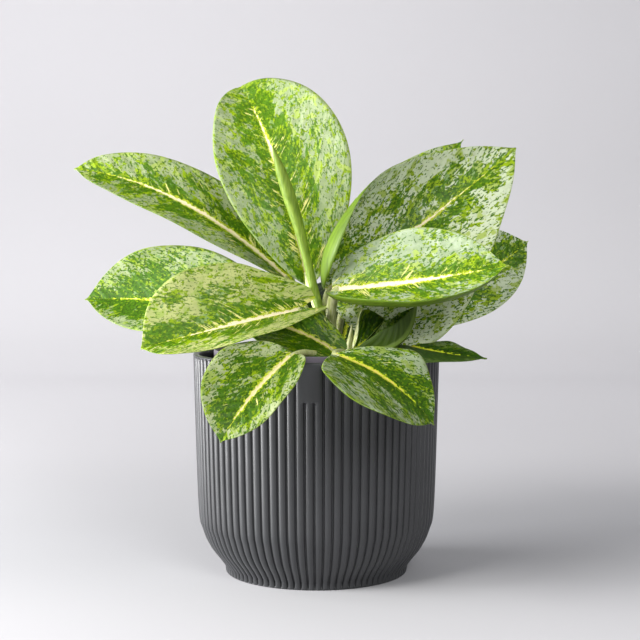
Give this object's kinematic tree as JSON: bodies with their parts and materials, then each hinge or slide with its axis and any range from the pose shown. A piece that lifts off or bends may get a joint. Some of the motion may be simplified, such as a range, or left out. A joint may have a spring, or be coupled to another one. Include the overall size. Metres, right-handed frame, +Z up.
{
  "type": "potted chinese evergreen",
  "caption": "Leafy Chinese evergreen plant with broad silver-green leaves, growing in a grow pot that stands inside a ribbed dark grey round pot.",
  "frame": {"origin": "middle of the pot's flat underside, on the surface it stands on", "axes": "+Z up along the pot's axis, -Y towards the pot's smooth front plate, +X to the right seen from the front"},
  "size_m": [0.2748, 0.2166, 0.2867],
  "materials": {
    "pot_plastic": "matt anthracite, moulded",
    "grow_pot_plastic": "thin thermoformed, satin",
    "soil": "moist peat and bark",
    "stem": "smooth pale green stalk",
    "young_leaf": "waxy young leaf",
    "leaf": "waxy leaf, silver-green with green flecks"
  },
  "bodies": {
    "root": {"outer_pot": "pot_plastic", "grow_pot": "grow_pot_plastic", "soil": "soil", "stem_main": "stem", "stem_side": "stem", "leaf_spear": "young_leaf", "sheath_point": "stem", "sheath_bud": "stem", "leaf_upright": "leaf", "leaf_upper_left": "leaf", "leaf_rear_left": "leaf", "leaf_front_left": "leaf", "leaf_front_right": "leaf", "leaf_upper_right": "leaf", "leaf_rear_right": "leaf", "leaf_back_low": "leaf", "leaf_back_right": "leaf", "leaf_low_left": "leaf", "leaf_low_centre": "leaf", "leaf_low_right": "leaf", "leaf_small_cupped": "leaf", "leaf_cupped": "leaf", "leaf_right_rim": "leaf"}
  },
  "joints": []
}
